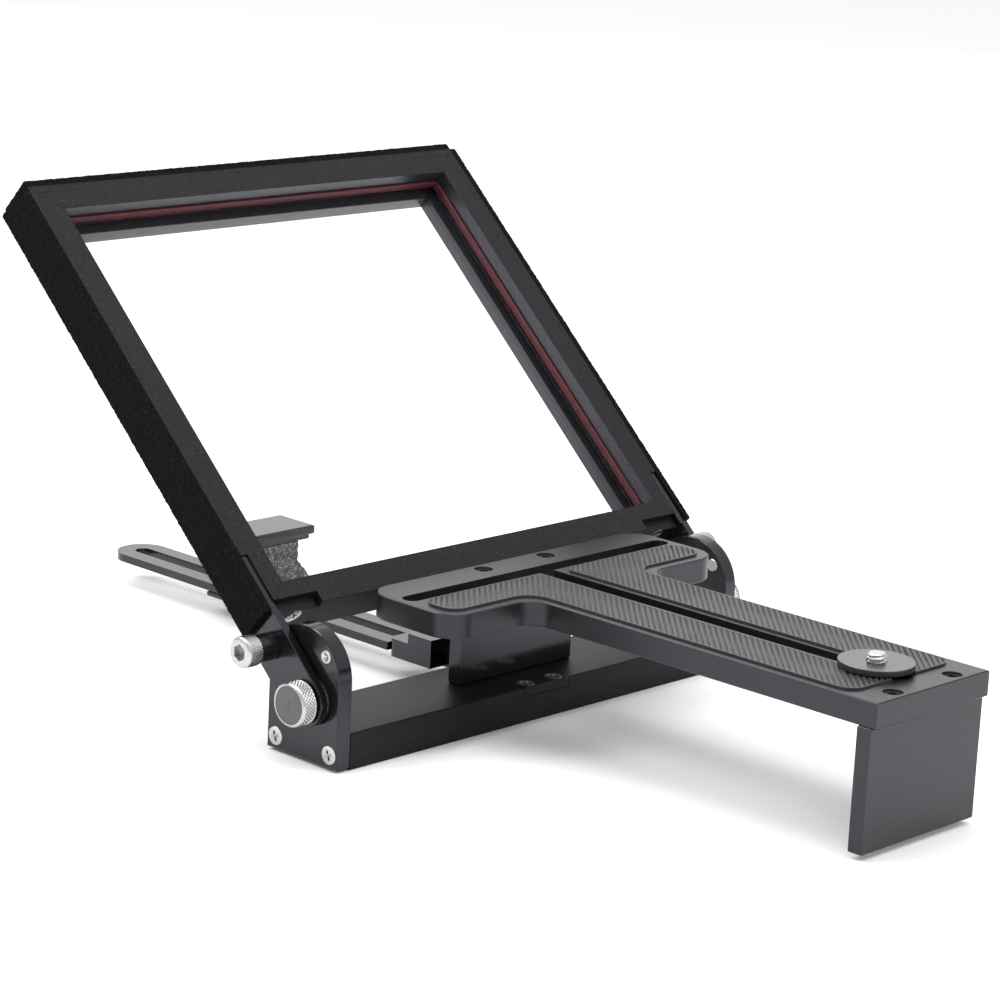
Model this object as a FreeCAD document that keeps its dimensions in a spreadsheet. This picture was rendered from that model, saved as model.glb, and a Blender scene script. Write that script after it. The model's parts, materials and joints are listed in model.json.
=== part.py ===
"""Teleprompter: a tilting beam-splitter frame on a crossbar, with a T-shaped camera plate behind it
and a slotted device rail in front.

Millimetres. +Z is up, X runs along the crossbar and +Y points from the camera to the person filmed.
The origin is in the middle of the crossbar's underside, which is what the teleprompter stands on.
"""
import FreeCAD, Part
import Sketcher
import math
import os
import re

os.makedirs("parts", exist_ok=True)
doc = FreeCAD.newDocument("Teleprompter")

SIZES = {
    # crossbar and side plates
    "bar_length_half": 92.6,
    "bar_depth_half": 16.8,
    "bar_height": 12.7,
    "plate_thick": 6.0,
    "plate_foot": 1.0,
    "plate_top": 46.4,
    "plate_round": 16.75,
    "machined_edge": 0.4,
    # pivot of the tilting frame, and the plungers beside it
    "pivot_y": -4.1,
    "pivot_z": 22.1,
    "stud_radius": 3.0,
    "stud_clearance": 0.08,
    "plunger_y": -10.0,
    "plunger_z": 37.9,
    "plunger_radius": 2.35,
    "washer_radius": 8.0,
    "washer_thick": 0.5,
    "plunger_proud": 0.3,
    "dimple_radius": 1.5,
    "dimple_tip": 0.2,
    "dimple_depth": 0.9,
    "beyond": 1.0,
    # flat-head screws
    "screw_head_radius": 3.2,
    "screw_shank_radius": 1.5,
    "screw_head_height": 1.8,
    "screw_length": 14.0,
    "hole_clearance": 0.05,
    "recess_width": 0.8,
    "recess_length": 3.6,
    "recess_depth": 1.3,
    "plate_screw_y": 12.8,
    "plate_screw_z": 5.4,
    # pedestal
    "pedestal_half": 27.6,
    "pedestal_front": -1.6,
    "pedestal_back": 3.8,
    "pedestal_top": 42.8,
    "foot_half": 10.9,
    "foot_thick": 3.4,
    "foot_gap": 0.2,
    "foot_screw_x": 6.8,
    "foot_screw_y": -12.9,
    "foot_screw_length": 8.0,
    # camera plate
    "camera_plate_thick": 8.6,
    "head_half": 66.8,
    "head_back": 6.2,
    "head_front": -34.7,
    "stem_half": 28.5,
    "stem_end": -178.0,
    "head_round": 10.0,
    "neck_round": 8.0,
    "slot_half": 3.3,
    "cross_slot_y": -10.6,
    "cross_slot_end": 61.3,
    "long_slot_end": -164.7,
    "back_screw_x": 15.4,
    "back_screw_y": 1.3,
    "end_screw_x": 15.1,
    "end_screw_y": -173.3,
    "socket_width": 3.0,
    "counterbore_depth": 0.8,
    "counterbore_radius": 3.25,
    # grip pads
    "pad_thick": 0.7,
    "pad_margin": 2.6,
    "pad_front": -30.8,
    "pad_back": -16.0,
    "pad_reach": 62.5,
    "pad_stem_edge": 25.9,
    "pad_end": -166.0,
    "pad_corner": 6.0,
    "pad_neck": 8.0,
    "pad_bevel": 3.0,
    # foot plate
    "foot_plate_front": -176.2,
    "foot_plate_back": -170.8,
    "foot_plate_bottom": 2.0,
    # camera disc and screw
    "camera_y": -155.1,
    "disc_radius": 12.25,
    "disc_bottom": 52.4,
    "disc_thick": 1.9,
    "camera_screw_radius": 3.175,
    "camera_screw_top": 56.8,
    "camera_screw_bevel": 0.5,
    "camera_neck_radius": 3.0,
    "disc_hole_clearance": 0.1,
    "camera_knob_radius": 9.0,
    "camera_knob_top": 42.4,
    "camera_knob_height": 5.4,
    # device rail and its bracket
    "rail_half": 10.2,
    "rail_bottom": 9.4,
    "rail_thick": 3.0,
    "rail_round_y": 198.4,
    "rail_start": 34.0,
    "rail_slot_half": 3.2,
    "rail_slot_start": 46.0,
    "bracket_front": 51.4,
    "bracket_step": 41.5,
    "bracket_bottom": 7.7,
    "bracket_low_top": 14.3,
    "bracket_high_top": 18.0,
    "bracket_tall_back": 30.0,
    "bracket_corner": 3.0,
    "bracket_neck_half": 4.0,
    "bracket_gap": 0.3,
    "rail_tongue_half": 8.2,
    "rail_screw_y": 38.0,
    "rail_screw_x": 5.5,
    "rail_screw_top": 15.8,
    # device post with its clamp
    "post_y": 129.2,
    "post_depth_half": 9.65,
    "post_half": 16.2,
    "post_top": 37.0,
    "post_lip": 3.4,
    "post_step": 1.4,
    "post_step_thick": 1.9,
    "post_column_half": 8.9,
    "post_column_depth": 8.7,
    "post_foot_half": 14.5,
    "post_foot_thick": 5.6,
    "post_flare": 5.6,
    "post_bend": 2.5,
    "post_gap": 0.3,
    "clamp_half": 10.0,
    "clamp_length": 30.0,
    "clamp_thick": 2.0,
    "clamp_screw_radius": 3.0,
    "clamp_knob_radius": 8.0,
    "clamp_knob_height": 5.8,
    "clamp_screw_depth": 9.0,
    # tilting frame, in its own plane: X across, Y up along the glass, Z out of the glass to the camera
    "frame_tilt": 42.6,
    "frame_half": 102.4,
    "frame_length": 178.5,
    "frame_depth": 15.5,
    "face_width": 10.5,
    "lip_width": 15.0,
    "lip_depth": 5.5,
    "angle_leg": 22.0,
    "angle_thick": 3.0,
    "corner_leg_inner": 80.5,
    "corner_leg_thick": 4.3,
    "corner_leg_recess": 3.0,
    "leg_screw_across": 89.8,
    "leg_screw_depth": 6.1,
    "leg_screw_length": 9.0,
    "glass_front": 8.0,
    "glass_thick": 2.0,
    "glass_gap": 0.2,
    "gasket_thick": 1.0,
    "gasket_front": 5.2,
    # arms, in the frame's plane
    "arm_back": 17.5,
    "arm_back_along": 1.0,
    "arm_belly": 18.5,
    "arm_belly_bottom": 3.0,
    "arm_belly_top": 10.8,
    "arm_shin_along": -25.0,
    "arm_front": 0.5,
    "arm_heel": 12.8,
    "arm_lap": 22.7,
    "arm_sunk": 0.7,
    "arm_pivot_along": -29.3,
    "arm_end_along": -37.8,
    "arm_round": 8.45,
    # hook-and-loop strips
    "strip_thick": 2.6,
    "strip_start": 1.0,
    # screw with spacer on each arm
    "cap_along": -7.2,
    "cap_depth": 9.0,
    "spacer_radius": 4.6,
    "spacer_length": 7.6,
    "cap_radius": 5.3,
    "cap_length": 6.0,
    "cap_shank_radius": 2.5,
    "cap_socket_width": 5.0,
    "cap_socket_depth": 3.0,
    # thumb knobs
    "knob_gap": 0.4,
    "knob_radius": 7.4,
    "knob_length": 6.0,
    "knob_dish_radius": 5.1,
    "stud_end": 0.5,
    "knob_dish": 0.5,
}

sheet = doc.addObject("Spreadsheet::Sheet", "Sizes")
for row, (name, number) in enumerate(SIZES.items(), start=1):
    sheet.set(f"A{row}", name)
    sheet.set(f"B{row}", str(number))
    sheet.setAlias(f"B{row}", name)
doc.recompute()

SIDES = ((-1, "left"), (1, "right"))
TURN_TO = {
    "x": FreeCAD.Rotation(FreeCAD.Vector(0, 1, 0), 90),
    "y": FreeCAD.Rotation(FreeCAD.Vector(1, 0, 0), -90),
    "z": FreeCAD.Rotation(),
}
parts = []


# ---------------------------------------------------------------- helpers

def linked(formula):
    """A formula of size names and numbers, with each name pointed at its cell in the sheet."""
    return re.sub(r"[a-z_]+", lambda found: "Sizes." + found.group(), str(formula))


def span(side, low, high):
    """The stretch from low to high, mirrored to the negative side where side is -1."""
    if side > 0:
        return (low, high)
    return (f"-({high})", f"-({low})")


def block(name, x, y, z):
    """Box between a low and a high value on each axis."""
    box = doc.addObject("Part::Box", name)
    for axis, size, (low, high) in zip("xyz", ("Length", "Width", "Height"), (x, y, z)):
        box.setExpression(f"Placement.Base.{axis}", linked(low))
        box.setExpression(size, linked(f"({high}) - ({low})"))
    return box


def place_on_axis(solid, axis, centre, low):
    """Stand a solid of revolution on an axis: centre is its place on the other two axes."""
    solid.Placement = FreeCAD.Placement(FreeCAD.Vector(), TURN_TO[axis])
    others = [letter for letter in "xyz" if letter != axis]
    solid.setExpression(f"Placement.Base.{axis}", linked(low))
    for letter, where in zip(others, centre):
        solid.setExpression(f"Placement.Base.{letter}", linked(where))


def rod(name, axis, centre, radius, low, high):
    """Cylinder along an axis from low to high."""
    cylinder = doc.addObject("Part::Cylinder", name)
    cylinder.setExpression("Radius", linked(radius))
    cylinder.setExpression("Height", linked(f"({high}) - ({low})"))
    place_on_axis(cylinder, axis, centre, low)
    return cylinder


def taper(name, axis, centre, low_radius, high_radius, low, high):
    """Cone frustum along an axis from low to high."""
    cone = doc.addObject("Part::Cone", name)
    cone.setExpression("Radius1", linked(low_radius))
    cone.setExpression("Radius2", linked(high_radius))
    cone.setExpression("Height", linked(f"({high}) - ({low})"))
    place_on_axis(cone, axis, centre, low)
    return cone


def hexagon(name, axis, centre, width, low, high):
    """Hexagonal prism along an axis, width across its flats."""
    prism = doc.addObject("Part::Prism", name)
    prism.Polygon = 6
    prism.setExpression("Circumradius", linked(f"({width}) / {math.sqrt(3):.6f}"))
    prism.setExpression("Height", linked(f"({high}) - ({low})"))
    place_on_axis(prism, axis, centre, low)
    return prism


def join(name, *solids):
    """One solid made of several."""
    fused = doc.addObject("Part::MultiFuse", name)
    fused.Shapes = list(solids)
    fused.Refine = True
    return fused


def gather(name, solids):
    """Separate solids that share a node."""
    group = doc.addObject("Part::Compound", name)
    group.Links = list(solids)
    return group


def cut(name, base, *tools):
    """The base with every tool taken out of it."""
    tool = tools[0]
    if len(tools) > 1:
        tool = doc.addObject("Part::MultiFuse", name + "_tools")
        tool.Shapes = list(tools)
    result = doc.addObject("Part::Cut", name)
    result.Base = base
    result.Tool = tool
    return result


def part(label, solid):
    """Name a finished sub-part and put it on the list to be written."""
    solid.Label = label
    parts.append(solid)
    return solid


def outline(body, name, plane, corners, level):
    """Closed sketch of straight lines on one of the body's own planes, moved off it by level.
    Every corner is held by two distances from the origin, each bound to the sheet."""
    sketch = body.newObject("Sketcher::SketchObject", name)
    support = [feature for feature in body.Origin.OriginFeatures if feature.Role == plane][0]
    sketch.AttachmentSupport = [(support, "")]
    sketch.MapMode = "FlatFace"
    sketch.setExpression("AttachmentOffset.Base.z", linked(level))
    count = len(corners)
    start = [FreeCAD.Vector(10 * math.cos(math.tau * k / count), 10 * math.sin(math.tau * k / count), 0)
             for k in range(count)]
    for k in range(count):
        sketch.addGeometry(Part.LineSegment(start[k], start[(k + 1) % count]), False)
    for k in range(count):
        sketch.addConstraint(Sketcher.Constraint("Coincident", k, 2, (k + 1) % count, 1))
    for k, corner in enumerate(corners):
        for kind, letter, formula in zip(("DistanceX", "DistanceY"), "xy", corner):
            datum = getattr(start[k], letter)
            index = sketch.addConstraint(Sketcher.Constraint(kind, -1, 1, k, 1, datum))
            sketch.setExpression(f"Constraints[{index}]", linked(formula))
    return sketch


def upright_edges(solid, sketch, numbers):
    """Names of the solid's edges that stand on the sketch's corners with these numbers."""
    direction = sketch.Placement.Rotation.multVec(FreeCAD.Vector(0, 0, 1))
    names = []
    for number in numbers:
        foot = Part.Vertex(sketch.Placement.multVec(sketch.getPoint(number, 1)))
        for index, edge in enumerate(solid.Shape.Edges, start=1):
            along = abs(edge.tangentAt(edge.FirstParameter).dot(direction)) > 0.999
            if along and edge.distToShape(foot)[0] < 0.01:
                names.append(f"Edge{index}")
    return names


def flat_faces(solid, sketch):
    """Names of the solid's two faces that lie parallel to the sketch."""
    direction = sketch.Placement.Rotation.multVec(FreeCAD.Vector(0, 0, 1))
    names = []
    for index, face in enumerate(solid.Shape.Faces, start=1):
        if face.Surface.TypeId == "Part::GeomPlane" and abs(face.normalAt(0, 0).dot(direction)) > 0.999:
            names.append(f"Face{index}")
    return names


def plate(name, plane, corners, level, thickness, rounded=(), edge=None):
    """Body padded from a closed outline on a plane. rounded holds pairs of corner numbers and a
    radius for them, and edge is the bevel round both flat faces."""
    body = doc.addObject("PartDesign::Body", name)
    sketch = outline(body, name + "_outline", plane, corners, level)
    solid = body.newObject("PartDesign::Pad", name + "_pad")
    solid.Profile = sketch
    solid.setExpression("Length", linked(thickness))
    doc.recompute()
    for number, (numbers, radius) in enumerate(rounded):
        edges = upright_edges(solid, sketch, numbers)
        fillet = body.newObject("PartDesign::Fillet", f"{name}_round_{number}")
        fillet.Base = (solid, edges)
        fillet.setExpression("Radius", linked(radius))
        doc.recompute()
        solid = fillet
    if edge:
        bevel = body.newObject("PartDesign::Chamfer", name + "_bevel")
        bevel.Base = (solid, flat_faces(solid, sketch))
        bevel.setExpression("Size", linked(edge))
        doc.recompute()
    return body


def rectangle(first, second):
    """Corners of a rectangle from its low and high values on two axes."""
    return [(first[0], second[0]), (first[1], second[0]), (first[1], second[1]), (first[0], second[1])]


def screw(name, axis, centre, top, length, outward):
    """Flat-head screw whose head is flush with top and points outward (1 or -1) along the axis.
    The head has a cross-shaped recess."""
    if outward > 0:
        head = taper(name + "_head", axis, centre, "screw_shank_radius", "screw_head_radius",
                     f"{top} - screw_head_height", top)
        shank = rod(name + "_shank", axis, centre, "screw_shank_radius", f"{top} - {length}", top)
        reach = (f"{top} - recess_depth", f"{top} + beyond")
    else:
        head = taper(name + "_head", axis, centre, "screw_head_radius", "screw_shank_radius",
                     top, f"{top} + screw_head_height")
        shank = rod(name + "_shank", axis, centre, "screw_shank_radius", top, f"{top} + {length}")
        reach = (f"{top} - beyond", f"{top} + recess_depth")
    others = [letter for letter in "xyz" if letter != axis]
    bars = []
    for number, wide in enumerate(others):
        ranges = {axis: reach}
        for letter, where in zip(others, centre):
            half = "recess_length / 2" if letter == wide else "recess_width / 2"
            ranges[letter] = (f"{where} - {half}", f"{where} + {half}")
        bars.append(block(f"{name}_recess_{number}", ranges["x"], ranges["y"], ranges["z"]))
    return cut(name, join(name + "_blank", head, shank), *bars)


def screw_hole(name, axis, centre, top, length, outward):
    """The space that such a screw needs, a little wider than its shank."""
    wide = "screw_shank_radius + hole_clearance"
    if outward > 0:
        head = taper(name + "_sink", axis, centre, wide, "screw_head_radius + hole_clearance",
                     f"{top} - screw_head_height", top)
        shank = rod(name + "_bore", axis, centre, wide, f"{top} - {length} - hole_clearance", top)
    else:
        head = taper(name + "_sink", axis, centre, "screw_head_radius + hole_clearance", wide,
                     top, f"{top} + screw_head_height")
        shank = rod(name + "_bore", axis, centre, wide, top, f"{top} + {length} + hole_clearance")
    return join(name, head, shank)


# ---------------------------------------------------------------- crossbar and side plates

FOOT_SCREWS = [(f"{side} * foot_screw_x", "foot_screw_y") for side, hand in SIDES]


def make_crossbar():
    """Solid bar across the base, notched in the middle for the pedestal's foot."""
    blank = plate("crossbar_blank", "XY_Plane",
                  rectangle(("-bar_length_half", "bar_length_half"), ("-bar_depth_half", "bar_depth_half")),
                  0, "bar_height", edge="machined_edge")
    notch = block("crossbar_notch", ("-foot_half - foot_gap", "foot_half + foot_gap"),
                  ("-bar_depth_half - beyond", "pedestal_back + foot_gap"),
                  ("bar_height - foot_thick - foot_gap", "bar_height + beyond"))
    holes = plate_screw_holes("crossbar")
    holes += [screw_hole(f"crossbar_foot_hole_{k}", "z", where, "bar_height", "foot_screw_length", 1)
              for k, where in enumerate(FOOT_SCREWS)]
    part("base_crossbar", cut("base_crossbar", blank, notch, *holes))


def plate_screw_holes(owner):
    """Holes for the four screws that hold the side plates to the crossbar's ends."""
    holes = []
    for side, hand in SIDES:
        for end, place in enumerate(("-plate_screw_y", "plate_screw_y")):
            top = f"{side} * (bar_length_half + plate_thick)"
            holes.append(screw_hole(f"{owner}_end_hole_{hand}_{end}", "x", (place, "plate_screw_z"),
                                    top, "screw_length", side))
    return holes


def make_side_plates():
    """Upright plates with a round top on both ends of the crossbar."""
    for side, hand in SIDES:
        inner, outer = span(side, "bar_length_half", "bar_length_half + plate_thick")
        blank = plate(f"side_plate_{hand}_blank", "YZ_Plane",
                      rectangle(("-bar_depth_half", "bar_depth_half"), ("plate_foot", "plate_top")),
                      inner, "plate_thick", [((2, 3), "plate_round")], "machined_edge")
        through = (f"{inner} - beyond", f"{outer} + beyond")
        stud = rod(f"side_plate_{hand}_stud_hole", "x", ("pivot_y", "pivot_z"),
                   "stud_radius + hole_clearance", *through)
        plunger = rod(f"side_plate_{hand}_plunger_hole", "x", ("plunger_y", "plunger_z"),
                      "plunger_radius + hole_clearance", *through)
        holes = plate_screw_holes(f"side_plate_{hand}")
        part(f"side_plate_{hand}", cut(f"side_plate_{hand}", blank, stud, plunger, *holes))


def make_plate_screws():
    """Four flat-head screws through the side plates into the crossbar."""
    screws = []
    for side, hand in SIDES:
        for end, place in enumerate(("-plate_screw_y", "plate_screw_y")):
            top = f"{side} * (bar_length_half + plate_thick)"
            screws.append(screw(f"plate_screw_{hand}_{end}", "x", (place, "plate_screw_z"),
                                top, "screw_length", side))
    part("side_plate_screws", gather("side_plate_screws", screws))


def make_plungers():
    """A plunger through each side plate, proud of both faces, with a conical dimple outside."""
    plungers = []
    for side, hand in SIDES:
        body = rod(f"plunger_{hand}_body", "x", ("plunger_y", "plunger_z"), "plunger_radius",
                   *span(side, "bar_length_half - plunger_proud",
                         "bar_length_half + plate_thick + plunger_proud"))
        end = "bar_length_half + plate_thick + plunger_proud"
        radii = ("dimple_tip", "dimple_radius") if side > 0 else ("dimple_radius", "dimple_tip")
        dimple = taper(f"plunger_{hand}_dimple", "x", ("plunger_y", "plunger_z"), *radii,
                       *span(side, f"{end} - dimple_depth", end))
        plungers.append(cut(f"plunger_{hand}", body, dimple))
    part("detent_plungers", gather("detent_plungers", plungers))


def make_washers():
    """A washer between each side plate and its arm."""
    washers = []
    for side, hand in SIDES:
        low, high = span(side, "bar_length_half + plate_thick",
                         "bar_length_half + plate_thick + washer_thick")
        ring = rod(f"washer_{hand}_ring", "x", ("pivot_y", "pivot_z"), "washer_radius", low, high)
        hole = rod(f"washer_{hand}_hole", "x", ("pivot_y", "pivot_z"), "stud_radius + stud_clearance",
                   f"{low} - beyond", f"{high} + beyond")
        washers.append(cut(f"washer_{hand}", ring, hole))
    part("friction_washers", gather("friction_washers", washers))


# ---------------------------------------------------------------- pedestal, camera plate, foot plate

PLATE_SCREWS = [(f"{side} * {across}", along) for side, hand in SIDES
                for across, along in (("back_screw_x", "back_screw_y"), ("end_screw_x", "end_screw_y"))]


def make_pedestal():
    """Upright plate under the camera plate, with a foot let into the crossbar."""
    upright = plate("pedestal_upright", "XY_Plane",
                    rectangle(("-pedestal_half", "pedestal_half"), ("pedestal_front", "pedestal_back")),
                    "bar_height", "pedestal_top - bar_height", edge="machined_edge")
    foot = block("pedestal_foot", ("-foot_half", "foot_half"), ("-bar_depth_half", "pedestal_back"),
                 ("bar_height - foot_thick", "bar_height"))
    holes = [screw_hole(f"pedestal_foot_hole_{k}", "z", where, "bar_height", "foot_screw_length", 1)
             for k, where in enumerate(FOOT_SCREWS)]
    holes += plate_top_holes("pedestal")
    part("pedestal", cut("pedestal", join("pedestal_blank", upright, foot), *holes))
    screws = [screw(f"pedestal_screw_{k}", "z", where, "bar_height", "foot_screw_length", 1)
              for k, where in enumerate(FOOT_SCREWS)]
    part("pedestal_screws", gather("pedestal_screws", screws))


def plate_top_holes(owner):
    """Holes for the four countersunk screws in the camera plate, each with a straight counterbore."""
    top = "pedestal_top + camera_plate_thick"
    holes = [screw_hole(f"{owner}_top_hole_{k}", "z", where, f"{top} - counterbore_depth",
                        "screw_length", 1)
             for k, where in enumerate(PLATE_SCREWS)]
    return holes + [rod(f"{owner}_counterbore_{k}", "z", where, "counterbore_radius",
                        f"{top} - counterbore_depth", f"{top} + beyond")
                    for k, where in enumerate(PLATE_SCREWS)]


def make_camera_plate():
    """T-shaped plate with a slot along its stem and one across its head."""
    right = [("head_half", "head_back"), ("head_half", "head_front"), ("stem_half", "head_front"),
             ("stem_half", "stem_end")]
    left = [(f"-{x}", y) for x, y in reversed(right)]
    blank = plate("camera_plate_blank", "XY_Plane", right + left, "pedestal_top", "camera_plate_thick",
                  [((0, 1, 6, 7), "head_round"), ((2, 5), "neck_round")], "machined_edge")
    through = ("pedestal_top - beyond", "pedestal_top + camera_plate_thick + beyond")
    long_slot = block("long_slot", ("-slot_half", "slot_half"), ("long_slot_end", "cross_slot_y"),
                      through)
    long_end = rod("long_slot_round", "z", (0, "long_slot_end"), "slot_half", *through)
    cross_slot = block("cross_slot", ("-cross_slot_end", "cross_slot_end"),
                       ("cross_slot_y - slot_half", "cross_slot_y + slot_half"), through)
    ends = [rod(f"cross_slot_round_{hand}", "z", (f"{side} * cross_slot_end", "cross_slot_y"),
                "slot_half", *through) for side, hand in SIDES]
    part("camera_plate", cut("camera_plate", blank, long_slot, long_end, cross_slot, *ends,
                             *plate_top_holes("camera_plate")))


def make_plate_top_screws():
    """Countersunk screws with a hexagonal socket, at the bottom of their counterbores."""
    top = "pedestal_top + camera_plate_thick - counterbore_depth"
    screws = []
    for k, where in enumerate(PLATE_SCREWS):
        head = taper(f"top_screw_{k}_head", "z", where, "screw_shank_radius", "screw_head_radius",
                     f"{top} - screw_head_height", top)
        shank = rod(f"top_screw_{k}_shank", "z", where, "screw_shank_radius",
                    f"{top} - screw_length", top)
        socket = hexagon(f"top_screw_{k}_socket", "z", where, "socket_width",
                         f"{top} - recess_depth", f"{top} + beyond")
        screws.append(cut(f"top_screw_{k}", join(f"top_screw_{k}_blank", head, shank), socket))
    part("camera_plate_screws", gather("camera_plate_screws", screws))


def make_grip_pads():
    """L-shaped rubber pads on both sides of the slots."""
    inner = "slot_half + pad_margin"
    for side, hand in SIDES:
        corners = [(inner, "pad_end"), ("pad_stem_edge", "pad_end"), ("pad_stem_edge", "pad_front"),
                   ("pad_reach", "pad_front"), ("pad_reach", "pad_back"),
                   (f"{inner} + pad_bevel", "pad_back"), (inner, "pad_back - pad_bevel")]
        corners = [(f"{side} * ({x})", y) for x, y in corners]
        pad = plate(f"grip_pad_{hand}", "XY_Plane", corners, "pedestal_top + camera_plate_thick",
                    "pad_thick", [((1, 3, 4), "pad_corner"), ((2,), "pad_neck")])
        part(f"grip_pad_{hand}", pad)


def make_foot_plate():
    """Plate hanging from the end of the camera plate, just short of the ground."""
    blank = plate("foot_plate_blank", "XY_Plane",
                  rectangle(("-stem_half", "stem_half"), ("foot_plate_front", "foot_plate_back")),
                  "foot_plate_bottom", "pedestal_top - foot_plate_bottom", edge="machined_edge")
    part("foot_plate", cut("foot_plate", blank, *plate_top_holes("foot_plate")))


# ---------------------------------------------------------------- camera disc and screw

def make_camera_disc():
    """Round seat for the camera, with the screw's hole in it."""
    top = "disc_bottom + disc_thick"
    disc = rod("camera_disc_blank", "z", (0, "camera_y"), "disc_radius", "disc_bottom", top)
    hole = rod("camera_disc_hole", "z", (0, "camera_y"), "camera_screw_radius + disc_hole_clearance",
               "disc_bottom - beyond", f"{top} + beyond")
    part("camera_disc", cut("camera_disc", disc, hole))


def make_camera_screw():
    """Quarter-inch screw with a plain neck up through the slot and the disc, so that only its end
    above the disc is thread, and its knob under the camera plate."""
    centre = (0, "camera_y")
    thread_start = "disc_bottom + disc_thick"
    thread_end = "camera_screw_top - camera_screw_bevel"
    neck = rod("camera_screw_neck", "z", centre, "camera_neck_radius",
               "camera_knob_top - beyond", thread_start)
    thread = rod("camera_screw_thread", "z", centre, "camera_screw_radius", thread_start, thread_end)
    tip = taper("camera_screw_tip", "z", centre, "camera_screw_radius",
                "camera_screw_radius - camera_screw_bevel", thread_end, "camera_screw_top")
    knob = rod("camera_screw_knob", "z", centre, "camera_knob_radius",
               "camera_knob_top - camera_knob_height", "camera_knob_top")
    part("camera_screw", join("camera_screw", neck, thread, tip, knob))


# ---------------------------------------------------------------- device rail, bracket and post

RAIL_SCREWS = [(f"{side} * rail_screw_x", "rail_screw_y") for side, hand in SIDES]


def make_rail_bracket():
    """Bracket on the back of the crossbar: a narrow neck, and a block that the rail's tongue sits in."""
    neck = block("bracket_neck", ("-bracket_neck_half", "bracket_neck_half"),
                 ("bar_depth_half", "bracket_tall_back"), ("bracket_bottom", "bar_height"))
    low = plate("bracket_low", "XY_Plane",
                rectangle(("-rail_half", "rail_half"), ("bracket_tall_back", "bracket_front")),
                "bracket_bottom", "bracket_low_top - bracket_bottom", [((2, 3), "bracket_corner")])
    high = block("bracket_high", ("-rail_half", "rail_half"), ("bracket_tall_back", "bracket_step"),
                 ("bracket_bottom", "bracket_high_top"))
    socket = block("bracket_socket", ("-rail_tongue_half", "rail_tongue_half"),
                   ("rail_start", "bracket_front + beyond"), ("rail_bottom", "rail_bottom + rail_thick"))
    holes = [rod(f"bracket_hole_{k}", "z", where, "screw_shank_radius + hole_clearance",
                 "bracket_bottom - beyond", "rail_screw_top + hole_clearance")
             for k, where in enumerate(RAIL_SCREWS)]
    part("rail_bracket", cut("rail_bracket", join("bracket_blank", neck, low, high), socket, *holes))


def make_rail_screws():
    """Two headless screws up through the bracket and the rail's end."""
    screws = []
    for k, where in enumerate(RAIL_SCREWS):
        stem = rod(f"rail_screw_{k}_stem", "z", where, "screw_shank_radius",
                   "bracket_bottom", "rail_screw_top")
        socket = hexagon(f"rail_screw_{k}_socket", "z", where, "screw_shank_radius",
                         "bracket_bottom - beyond", "bracket_bottom + recess_depth")
        screws.append(cut(f"rail_screw_{k}", stem, socket))
    part("rail_bracket_screws", gather("rail_bracket_screws", screws))


def make_device_rail():
    """Flat rail with a narrower tongue in the bracket, a round far end, and a slot."""
    height = ("rail_bottom", "rail_bottom + rail_thick")
    tongue = block("rail_tongue", ("-rail_tongue_half", "rail_tongue_half"),
                   ("rail_start", "rail_round_y"), height)
    strip = block("rail_strip", ("-rail_half", "rail_half"),
                  ("bracket_front + bracket_gap", "rail_round_y"), height)
    end = rod("rail_end", "z", (0, "rail_round_y"), "rail_half", *height)
    through = ("rail_bottom - beyond", "rail_bottom + rail_thick + beyond")
    slot = block("rail_slot", ("-rail_slot_half", "rail_slot_half"),
                 ("rail_slot_start", "rail_round_y"), through)
    rounds = [rod(f"rail_slot_round_{k}", "z", (0, where), "rail_slot_half", *through)
              for k, where in enumerate(("rail_slot_start", "rail_round_y"))]
    holes = [rod(f"rail_hole_{k}", "z", where, "screw_shank_radius + hole_clearance", *through)
             for k, where in enumerate(RAIL_SCREWS)]
    blank = join("rail_blank", tongue, strip, end)
    part("device_rail", cut("device_rail", blank, slot, *rounds, *holes))


def make_device_post():
    """Post that holds the device's clamp: a flange on a waisted column with a flared foot."""
    base = "rail_bottom + rail_thick + post_gap"
    step_bottom = "post_top - post_lip - post_step_thick"
    depth = ("post_y - post_depth_half", "post_y + post_depth_half")
    lip = plate("post_lip_plate", "XY_Plane", rectangle(("-post_half", "post_half"), depth),
                "post_top - post_lip", "post_lip", edge="machined_edge")
    step = block("post_step_plate", ("-post_half + post_step", "post_half - post_step"),
                 (f"{depth[0]} + post_step", f"{depth[1]} - post_step"),
                 (step_bottom, "post_top - post_lip"))
    right = [("post_foot_half", base), ("post_foot_half", f"{base} + post_foot_thick"),
             ("post_column_half", f"{base} + post_foot_thick + post_flare"),
             ("post_column_half", step_bottom)]
    left = [(f"-{x}", z) for x, z in reversed(right)]
    column = plate("post_column", "XZ_Plane", right + left, "-post_y - post_column_depth",
                   "2 * post_column_depth", [((1, 2, 5, 6), "post_bend")])
    thread = rod("post_thread", "z", (0, "post_y"), "clamp_screw_radius + hole_clearance",
                 f"{base} - beyond", f"{base} + clamp_screw_depth")
    part("device_post", cut("device_post", join("post_blank", lip, step, column), thread))


def make_clamp_plate():
    """Plate under the rail that the post is clamped with."""
    top = "rail_bottom - post_gap"
    blank = plate("clamp_plate_blank", "XY_Plane",
                  rectangle(("-clamp_half", "clamp_half"),
                            ("post_y - post_depth_half", "post_y - post_depth_half + clamp_length")),
                  f"{top} - clamp_thick", "clamp_thick", edge="machined_edge")
    hole = rod("clamp_plate_hole", "z", (0, "post_y"), "clamp_screw_radius + disc_hole_clearance",
               f"{top} - clamp_thick - beyond", f"{top} + beyond")
    part("post_clamp_plate", cut("post_clamp_plate", blank, hole))


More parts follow.
